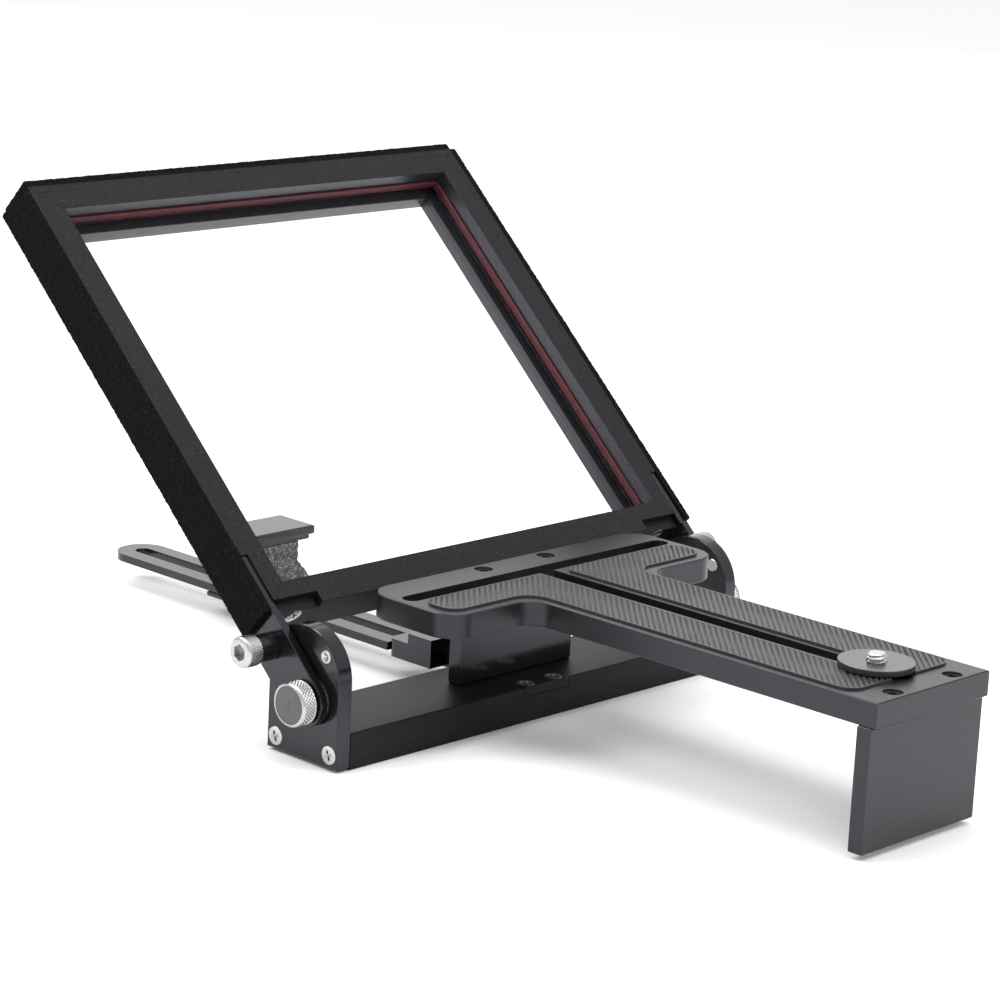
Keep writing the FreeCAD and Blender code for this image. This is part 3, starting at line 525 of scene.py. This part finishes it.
def flat_head(name, centre, axis, radius, length):
    """Flat-head screw, slightly crowned, with a rounded rim and a cross recess."""
    bm = bmesh.new()
    profile = [(-length, radius * 0.42), (-length + 0.3 * MM, radius * 0.47), (-1.9 * MM, radius * 0.47),
               (-0.25 * MM, radius * 0.98), (-0.1 * MM, radius), (0.02 * MM, radius * 0.97),
               (0.09 * MM, radius * 0.85), (0.13 * MM, radius * 0.5), (0.14 * MM, radius * 0.1)]
    lathe(bm, profile, centre, axis, 48)
    screw = object_from_bmesh(name, bm)
    mouth = centre + Vector(axis) * 0.2 * MM
    for quarter in range(2):
        subtract(screw, recess_bar(f"{name}_bar_{quarter}", mouth, axis, radius, quarter))
    return screw


def join_pieces(name, pieces):
    """One object from several, in their shared coordinates."""
    bm = bmesh.new()
    for piece in pieces:
        bm.from_mesh(piece.data)
        bpy.data.objects.remove(piece)
    return object_from_bmesh(name, bm)


def finish_group(node, pieces, material):
    """One piece that stands for a node of several alike solids."""
    finish_piece(join_pieces(node + "_look", pieces), node, MATERIALS[material])


def make_plate_screws():
    """Screws that hold the side plates to the crossbar's ends."""
    screws = []
    for number, (low, high) in enumerate(solid_boxes("side_plate_screws")):
        side, centre, radius, length = outer_end(low, high)
        screws.append(flat_head(f"plate_screw_{number}", centre, (side, 0, 0), radius, length))
    finish_group("side_plate_screws", screws, "steel")


def make_pedestal_screws():
    """Screws down through the pedestal's foot."""
    screws = []
    for number, (low, high) in enumerate(solid_boxes("pedestal_screws")):
        centre, radius, length = top_end(low, high)
        screws.append(flat_head(f"foot_screw_{number}", centre, UP, radius, length))
    finish_group("pedestal_screws", screws, "steel")


def cut_socket(screw, centre, axis, width, depth):
    """Cut a hexagonal hollow of a width across its flats into a screw's head."""
    bm = bmesh.new()
    corner = width / math.sqrt(3)
    lathe(bm, [(-depth, corner), (2 * MM, corner)], centre, axis, 6)
    return subtract(screw, object_from_bmesh(screw.name + "_socket", bm))


def socket_screw_flat(name, centre, radius, length):
    """Countersunk screw with a hexagonal socket, standing up."""
    bm = bmesh.new()
    profile = [(-length, radius * 0.44), (-length + 0.4 * MM, radius * 0.47), (-1.8 * MM, radius * 0.47),
               (-0.25 * MM, radius * 0.98), (-0.1 * MM, radius), (0, radius * 0.94)]
    lathe(bm, profile, centre, UP, 48)
    return cut_socket(object_from_bmesh(name, bm), centre, UP, 3 * MM, 1.4 * MM)


def make_leg_screws():
    """Screws of the frame's lower corner legs, whose heads face down along the frame."""
    screws = []
    down = PLANE @ Vector((0, -1, 0))
    for number, (low, high) in enumerate(solid_boxes("corner_leg_screws", PLANE)):
        centre = PLANE @ Vector(((low.x + high.x) / 2, low.y, (low.z + high.z) / 2))
        radius, length = (high.x - low.x) / 2, high.y - low.y
        screws.append(flat_head(f"leg_screw_{number}", centre, down, radius, length))
    finish_group("corner_leg_screws", screws, "steel")


def make_plungers():
    """Detent plungers set in the side plates, each with a round drilled dimple."""
    plungers = []
    for number, (low, high) in enumerate(solid_boxes("detent_plungers")):
        side, centre, radius, length = outer_end(low, high)
        bm = bmesh.new()
        profile = [(-length, radius * 0.9), (-length + 0.2 * MM, radius), (-0.3 * MM, radius),
                   (-0.08 * MM, radius * 0.95), (0, radius * 0.82), (0, radius * 0.6),
                   (-0.16 * MM, radius * 0.46), (-0.6 * MM, radius * 0.06)]
        lathe(bm, profile, centre, (side, 0, 0), 40)
        plungers.append(object_from_bmesh(f"plunger_{number}", bm))
    finish_group("detent_plungers", plungers, "turned")


def make_plate_top_screws():
    """Screws down through the camera plate into the pedestal and the foot plate."""
    screws = []
    for number, (low, high) in enumerate(solid_boxes("camera_plate_screws")):
        screws.append(socket_screw_flat(f"top_screw_{number}", *top_end(low, high)))
    finish_group("camera_plate_screws", screws, "dark_steel")


def make_cap_screws():
    """Socket-head cap screws with a finely knurled, chamfered head."""
    screws = []
    for number, (low, high) in enumerate(solid_boxes("arm_cap_screws")):
        side, centre, radius, length = outer_end(low, high)
        head = 6 * MM
        shank = 2.5 * MM
        teeth = 52

        def knurl(angle, height, reach):
            on_rim = reach > radius * 0.97 and -head + 0.7 * MM < height < -1.1 * MM
            return -0.1 * MM * abs(math.sin(angle * teeth / 2)) ** 0.7 if on_rim else 0

        bm = bmesh.new()
        profile = [(-length, shank - 0.2 * MM), (-length + 0.4 * MM, shank), (-head, shank),
                   (-head, radius * 0.94), (-head + 0.35 * MM, radius * 0.99), (-head + 0.8 * MM, radius),
                   (-1.2 * MM, radius), (-0.75 * MM, radius * 0.985), (-0.2 * MM, radius * 0.91),
                   (0, radius * 0.82)]
        lathe(bm, profile, centre, (side, 0, 0), teeth * 6, knurl)
        screw = object_from_bmesh(f"cap_screw_{number}", bm)
        screws.append(cut_socket(screw, centre, (side, 0, 0), 5 * MM, 3 * MM))
    finish_group("arm_cap_screws", screws, "turned")


def diamond(teeth, pitch, depth, low, high):
    """Diamond knurl between two heights."""
    def wave(angle, height, _):
        if not low < height < high:
            return 0
        around = angle * teeth / TURN
        along = height / pitch
        first = abs((around + along) % 1 - 0.5) * 2
        second = abs((around - along) % 1 - 0.5) * 2
        return -depth * max(first, second)
    return wave


FACE_RINGS = 34
KNOB_TEETH = 36


def turned_face(radius):
    """Profile of a thumb knob's face, inward from its raised rim: tool marks, and two deeper grooves."""
    profile = []
    for ring in range(FACE_RINGS):
        share = 0.86 - 0.84 * ring / FACE_RINGS
        dip = 0.05 * MM * (ring % 2)
        groove = 0.12 * MM if 0.20 < share < 0.27 or 0.07 < share < 0.1 else 0
        profile.append((-0.14 * MM - dip - groove, radius * share))
    return profile


def make_thumb_knobs():
    """Knurled knobs with a turned face: a raised rim, shallow rings and a centre mark. The face is
    painted shade: a darker copy of the knurl's steel.
    """
    for side, hand in HANDS:
        node = f"thumb_knob_{hand}"
        low, high = (Vector(corner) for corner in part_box(node))
        _, centre, _, length = outer_end(low, high)
        radius = (high.z - low.z) / 2
        head = 6 * MM
        stud = 3 * MM
        rim_low = -head + 0.5 * MM
        rim_high = -0.9 * MM
        profile = [(-length, stud - 0.2 * MM), (-length + 0.3 * MM, stud), (-head, stud),
                   (-head, radius * 0.93), (-head + 0.3 * MM, radius * 0.98)]
        profile += steps_between(rim_low, rim_high, 48, radius)
        profile += [(-0.55 * MM, radius * 0.985), (-0.15 * MM, radius * 0.945), (0, radius * 0.905),
                    (0, radius * 0.885), (-0.12 * MM, radius * 0.87)]
        profile += turned_face(radius)
        bm = bmesh.new()
        wave = diamond(KNOB_TEETH, 1.35 * MM, 0.36 * MM, rim_low, rim_high)
        lathe(bm, profile, centre, (side, 0, 0), KNOB_TEETH * 10, wave)
        knob = finish_piece(object_from_bmesh(node + "_look", bm, 50), node, MATERIALS["turned"])
        # Painted shade: the face inside the rim takes the darker copy of the same steel.
        second_material(knob, MATERIALS["knob_face"],
                        lambda spot, normal: ((spot - centre).yz.length < radius * 0.87
                                              and abs(spot.x - centre.x) < 0.5 * MM))


THREAD_RADIUS = 3.175 * MM
THREAD_ROOT = 2.55 * MM
THREAD_PITCH = 25.4 / 20 * MM
THREAD_BEVEL = 0.6 * MM
NECK_RADIUS = 3 * MM


def thread_point(angle, crest, root, height):
    """Radius of a 60-degree thread at an angle and a height."""
    phase = (height / THREAD_PITCH - angle / TURN) % 1
    slope = abs(phase - 0.5) * 2
    flat = min(max((slope - 0.12) / 0.7, 0), 1)
    return root + (crest - root) * flat


def make_camera_screw():
    """Quarter-inch screw, 20 threads to the inch, with a knurled knob under the plate."""
    low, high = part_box("camera_screw")
    disc_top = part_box("camera_disc")[1][2]
    centre = Vector(((low[0] + high[0]) / 2, (low[1] + high[1]) / 2, 0))
    knob_radius = (high[0] - low[0]) / 2
    knob_top = low[2] + 5.4 * MM
    knurl_low, knurl_high = low[2] + 1.2 * MM, knob_top - 1 * MM
    teeth = 56
    knurl = diamond(teeth, 1.1 * MM, 0.28 * MM, knurl_low, knurl_high)
    thread_low = disc_top - 2.5 * MM

    def wave(angle, height, reach):
        if height < thread_low or reach < THREAD_ROOT:
            return knurl(angle, height, reach)
        crest = min(THREAD_RADIUS, THREAD_RADIUS - (height - (high[2] - THREAD_BEVEL)))
        return thread_point(angle, crest, min(THREAD_ROOT, crest), height) - reach

    profile = [(low[2], knob_radius * 0.9), (low[2] + 0.6 * MM, knob_radius * 0.96)]
    profile += steps_between(knurl_low, knurl_high, 40, knob_radius)
    profile += [(knob_top - 0.3 * MM, knob_radius * 0.96), (knob_top, knob_radius * 0.9),
                (knob_top, NECK_RADIUS), (thread_low - 0.1 * MM, NECK_RADIUS)]
    profile += steps_between(thread_low, high[2], 90, THREAD_RADIUS)
    profile += [(high[2], THREAD_ROOT * 0.8)]
    bm = bmesh.new()
    lathe(bm, profile, centre, UP, teeth * 4, wave)
    finish_piece(object_from_bmesh("camera_screw_look", bm, 50), "camera_screw", MATERIALS["steel"])


def make_clamp_knob():
    """Knurled lock knob under the post's clamp plate."""
    low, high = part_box("post_clamp_knob")
    radius = (high[0] - low[0]) / 2
    centre = Vector(((low[0] + high[0]) / 2, (low[1] + high[1]) / 2, 0))
    knob_top = low[2] + 5.8 * MM
    knurl_low, knurl_high = low[2] + 0.9 * MM, knob_top - 0.9 * MM
    teeth = 44
    profile = [(low[2], radius * 0.88), (low[2] + 0.5 * MM, radius * 0.96)]
    profile += steps_between(knurl_low, knurl_high, 30, radius)
    profile += [(knob_top - 0.3 * MM, radius * 0.96), (knob_top, radius * 0.88), (knob_top, NECK_RADIUS),
                (high[2] - 0.5 * MM, NECK_RADIUS), (high[2], NECK_RADIUS - 0.5 * MM)]
    bm = bmesh.new()
    lathe(bm, profile, centre, UP, teeth * 6, diamond(teeth, 1.1 * MM, 0.28 * MM, knurl_low, knurl_high))
    knob = object_from_bmesh("post_clamp_knob_look", bm, 50)
    finish_piece(knob, "post_clamp_knob", MATERIALS["dark_steel"])


# ---------------------------------------------------------------- ribbed pads

RIB_PITCH = 1.8 * MM
RIB_DEPTH = 0.5 * MM
PAD_RIM = 0.55 * MM
# One rib across: the share of the pitch, and the height over the pad's top.
RIB_SHAPE = ((0.0, -RIB_DEPTH), (0.3, -RIB_DEPTH), (0.36, -0.1 * MM), (0.44, 0), (0.84, 0),
             (0.93, -0.1 * MM))


def ribbed_slab(name, low, high):
    """Slab over a pad's box whose top has rounded ribs at 45 degrees to X."""
    bm = bmesh.new()
    reach = (high.x - low.x + high.y - low.y) / 2
    centre = Vector(((low.x + high.x) / 2, (low.y + high.y) / 2, 0))
    place = Matrix.Translation(centre) @ Matrix.Rotation(math.radians(45), 4, "Z")
    outline = []
    for rib in range(int(2 * reach / RIB_PITCH)):
        outline += [(-reach + (rib + part) * RIB_PITCH, high.z + drop) for part, drop in RIB_SHAPE]
    bottom = low.z - 1 * MM
    outline = [(outline[0][0], bottom)] + outline + [(outline[-1][0], bottom)]
    close_rings(bm, [[bm.verts.new(place @ Vector((x, y, z))) for y, z in outline]
                     for x in (-reach, reach)])
    return object_from_bmesh(name, bm)


def rim_inset(name, node, pad_top):
    """Prism over a pad's top face, drawn in from its outline, from inside the pad to above it."""
    bm = node_bmesh(node)
    level = [face for face in bm.faces if face.normal.z > 0.9]
    top = max(level, key=lambda face: face.calc_center_median().z)
    bmesh.ops.inset_region(bm, faces=[top], thickness=PAD_RIM)
    outline = [vertex.co.xy for vertex in top.verts]
    bm.free()
    prism = bmesh.new()
    heights = (pad_top - RIB_DEPTH - 0.15 * MM, pad_top + 1 * MM)
    close_rings(prism, [[prism.verts.new((x, y, z)) for x, y in outline] for z in heights])
    return object_from_bmesh(name, prism)


def make_pads():
    """Rubber pads with slanted ribs inside a plain rim."""
    for _, hand in HANDS:
        node = f"grip_pad_{hand}"
        low, high = (Vector(corner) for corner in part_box(node))
        grooves = rim_inset(node + "_grooves", node, high.z)
        subtract(grooves, ribbed_slab(node + "_ribs", low, high))
        pad = subtract(object_from_bmesh(node + "_ribbed", node_bmesh(node)), grooves)
        pad.data.shade_smooth()
        pad.data.set_sharp_from_angle(angle=math.radians(50))
        finish_piece(pad, node, MATERIALS["pad"])


# ---------------------------------------------------------------- pile strips

STRIPS = {"left": (-1, 0, 0), "right": (1, 0, 0), "top": (0, 1, 0)}
BACKING_STEP = 0.65 * MM
BACKING_LUMP = 0.22
FIBRES = 9000
FIBRE_WIDTH = 0.05 * MM
FIBRE_ROOT = 0.15 * MM
SIDE_SHARE = 0.22


def strip_surface(bm, low, high, away, step, rng):
    """Woven backing: a box in the frame's plane with a lumpy outer face. Its back is flat, and its other
    sides only dent inwards."""
    size = high - low
    counts = [max(2, round(size[axis] / step)) for axis in range(3)]
    out = 0 if away[0] else 1
    back = 0 if away[out] > 0 else counts[out]
    grid = {}
    for place in itertools.product(*(range(count + 1) for count in counts)):
        at_end = [place[axis] in (0, counts[axis]) for axis in range(3)]
        if not any(at_end):
            continue
        spot = Vector([low[axis] + size[axis] * place[axis] / counts[axis] for axis in range(3)])
        lump = Vector([rng.uniform(-1, 1) for _ in range(3)]) * step * BACKING_LUMP
        for axis in range(3):
            if axis != out and at_end[axis]:
                lump[axis] = abs(lump[axis]) * (1 if place[axis] == 0 else -1)
        if place[out] == back:
            lump = Vector((0, 0, 0))
        grid[place] = bm.verts.new(PLANE @ (spot + lump))
    for axis in range(3):
        first, second = [other for other in range(3) if other != axis]
        ends = (0, counts[axis])
        for end, a, b in itertools.product(ends, range(counts[first]), range(counts[second])):
            corners = []
            for da, db in ((0, 0), (1, 0), (1, 1), (0, 1)):
                place = [end, end, end]
                place[first] = a + da
                place[second] = b + db
                corners.append(grid[tuple(place)])
            bm.faces.new(corners)


def fibres(bm, low, high, away, count, rng):
    """Loose loops of pile: thin bent ribbons standing on the outer face and round its edges."""
    size = high - low
    for _ in range(count):
        spot = Vector([low[k] + size[k] * rng.random() for k in range(3)])
        lean = Vector([rng.gauss(0, 0.8) for _ in range(3)])
        outward = Vector(away)
        if rng.random() < SIDE_SHARE:
            face = rng.choice((-1, 1))
            spot.z = high.z if face > 0 else low.z
            outward = Vector((0, 0, face))
        else:
            for k in range(3):
                if away[k]:
                    spot[k] = high[k] if away[k] > 0 else low[k]
        length = rng.uniform(0.45, 0.95) * MM
        direction = (outward * 1.1 + lean * 0.6).normalized()
        bend = (direction + lean * 0.7 - outward * rng.uniform(0.2, 1.1)).normalized()
        sideways = direction.cross(bend).normalized() * FIBRE_WIDTH
        root = spot - outward * FIBRE_ROOT
        first = root + direction * length * 0.55
        tip = first + bend * length * 0.5
        verts = [bm.verts.new(PLANE @ point) for point in
                 (root - sideways, root + sideways, first + sideways, first - sideways,
                  tip + sideways * 0.5, tip - sideways * 0.5)]
        bm.faces.new((verts[0], verts[1], verts[2], verts[3]))
        bm.faces.new((verts[3], verts[2], verts[4], verts[5]))


def make_strips():
    """Hook-and-loop strips round the frame: a lumpy backing, with loose fibres on it."""
    rng = random.Random(11)
    for name, away in STRIPS.items():
        node = f"hook_strip_{name}"
        low, high = flat_box(node)
        bm = bmesh.new()
        strip_surface(bm, low, high, away, BACKING_STEP, rng)
        finish_piece(object_from_bmesh(node + "_backing", bm, 80), node, MATERIALS["pile"])
        bm = bmesh.new()
        fibres(bm, low, high, away, FIBRES, rng)
        attach_piece(object_from_bmesh(node + "_pile", bm, 80), node, MATERIALS["fibre"])


# ---------------------------------------------------------------- device post

SKIN_FROM = 0.8 * MM
SKIN_UNDER_TOP = 5.3 * MM
SKIN_VOXEL = 0.45 * MM
SKIN_RISE = 0.22 * MM
SKIN_WAVE = 0.9 * MM
SKIN_WAVES = 18


def make_post():
    """The post: smooth all over, with a rough skin round the column under the flange."""
    low, high = (Vector(corner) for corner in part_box("device_post"))
    soften("device_post", MATERIALS["rail"], 0.25 * MM)
    skin = object_from_bmesh("device_post_skin", node_bmesh("device_post"))
    remesh = skin.modifiers.new("remesh", "REMESH")
    remesh.mode = "VOXEL"
    remesh.voxel_size = SKIN_VOXEL
    evaluated(skin)
    bm = bmesh.new()
    bm.from_mesh(skin.data)
    outside = [face for face in bm.faces
               if not low.z + SKIN_FROM < face.calc_center_median().z < high.z - SKIN_UNDER_TOP]
    bmesh.ops.delete(bm, geom=outside, context="FACES")
    bm.normal_update()
    rng = random.Random(5)
    waves = []
    for _ in range(SKIN_WAVES):
        direction = Vector([rng.gauss(0, 1) for _ in range(3)]).normalized()
        waves.append((direction * rng.uniform(1500, 5200), rng.uniform(0, TURN)))
    for vertex in bm.verts:
        height = sum(math.sin(vertex.co.dot(wave) + phase) for wave, phase in waves) / SKIN_WAVES
        vertex.co += vertex.normal * (SKIN_RISE + SKIN_WAVE * height)
    bm.to_mesh(skin.data)
    bm.free()
    skin.data.shade_smooth()
    attach_piece(skin, "device_post", MATERIALS["cast"])


# ---------------------------------------------------------------- studio

LOOK_AT = Vector((0, 0, 0.08))
WORLD_STRENGTH = 0.95
# Azimuth and elevation in degrees, distance and size in metres, power in watts.
LIGHTS = {
    "key": (-120, 48, 1.6, 0.5, 8),
    "fill": (20, 50, 1.8, 1.2, 7),
    "overhead": (0, 88, 1.6, 1.2, 13),
    "edge": (-160, 45, 1.5, 0.5, 4),
    "backdrop": (133, 20, 2.2, 1.6, 4.5),
}

CAMERA_AZIMUTH = -46.55
CAMERA_ELEVATION = 13.90
CAMERA_ROLL = 2.83
CAMERA_DISTANCE = 1110.2 * MM
CAMERA_TARGET = Vector((-4.9, 5.2, 73.3)) * MM
CAMERA_LENS = 116.77
SENSOR = 36.0


def direction_to(azimuth, elevation):
    """Direction in which something stands, with azimuth 0 at the camera plate's end."""
    turn, rise = math.radians(azimuth), math.radians(elevation)
    return Vector((math.sin(turn) * math.cos(rise), -math.cos(turn) * math.cos(rise), math.sin(rise)))


def make_floor():
    """Plain white floor."""
    bm = bmesh.new()
    bmesh.ops.create_grid(bm, x_segments=1, y_segments=1, size=6)
    floor = object_from_bmesh("floor", bm)
    material = new_material("floor_white", Roughness=0.75, Specular_IOR_Level=0.15)
    slow = noise(material, 3, 2.0)
    to_shader(material, ramp(material, slow, (0.3, 0.93), (0.7, 0.95)), "Base Color")
    floor.data.materials.append(material)


def area_light(name, azimuth, elevation, distance, size, power):
    """Square soft light aimed at the object's middle."""
    data = bpy.data.lights.new(name, "AREA")
    data.size = size
    data.energy = power
    light = add_object(name, data)
    away = direction_to(azimuth, elevation)
    light.location = LOOK_AT + away * distance
    light.rotation_euler = away.to_track_quat("Z", "Y").to_euler()
    return light


def make_studio():
    """White surroundings, a floor and soft lights. The light behind the object is not seen itself."""
    world = bpy.data.worlds.new("studio")
    world.use_nodes = True
    background = world.node_tree.nodes["Background"]
    background.inputs["Color"].default_value = (1, 1, 1, 1)
    background.inputs["Strength"].default_value = WORLD_STRENGTH
    bpy.context.scene.world = world
    bpy.context.scene.view_settings.view_transform = "Standard"
    make_floor()
    lights = {name: area_light(name, *setting) for name, setting in LIGHTS.items()}
    lights["backdrop"].visible_camera = False


def make_camera():
    """Camera at the photograph's angle, with its slight roll."""
    back = direction_to(CAMERA_AZIMUTH, CAMERA_ELEVATION)
    turn, roll = math.radians(CAMERA_AZIMUTH), math.radians(CAMERA_ROLL)
    level = Vector((math.cos(turn), math.sin(turn), 0))
    upright = back.cross(level)
    right = math.cos(roll) * level + math.sin(roll) * upright
    above = math.cos(roll) * upright - math.sin(roll) * level
    data = bpy.data.cameras.new("camera")
    data.sensor_width = SENSOR
    data.lens = CAMERA_LENS
    camera = add_object("camera", data)
    turned = Matrix((right, above, back)).transposed().to_4x4()
    camera.matrix_world = Matrix.Translation(CAMERA_TARGET + back * CAMERA_DISTANCE) @ turned
    bpy.context.scene.camera = camera


make_camera()
make_studio()
make_machined_parts()
make_plate_screws()
make_pedestal_screws()
make_leg_screws()
make_plungers()
make_plate_top_screws()
make_cap_screws()
make_thumb_knobs()
make_camera_screw()
make_clamp_knob()
make_pads()
make_strips()
make_post()
for slot in frame["nodes"]["rail_bracket_screws"].material_slots:
    slot.material = MATERIALS["dark_steel"]
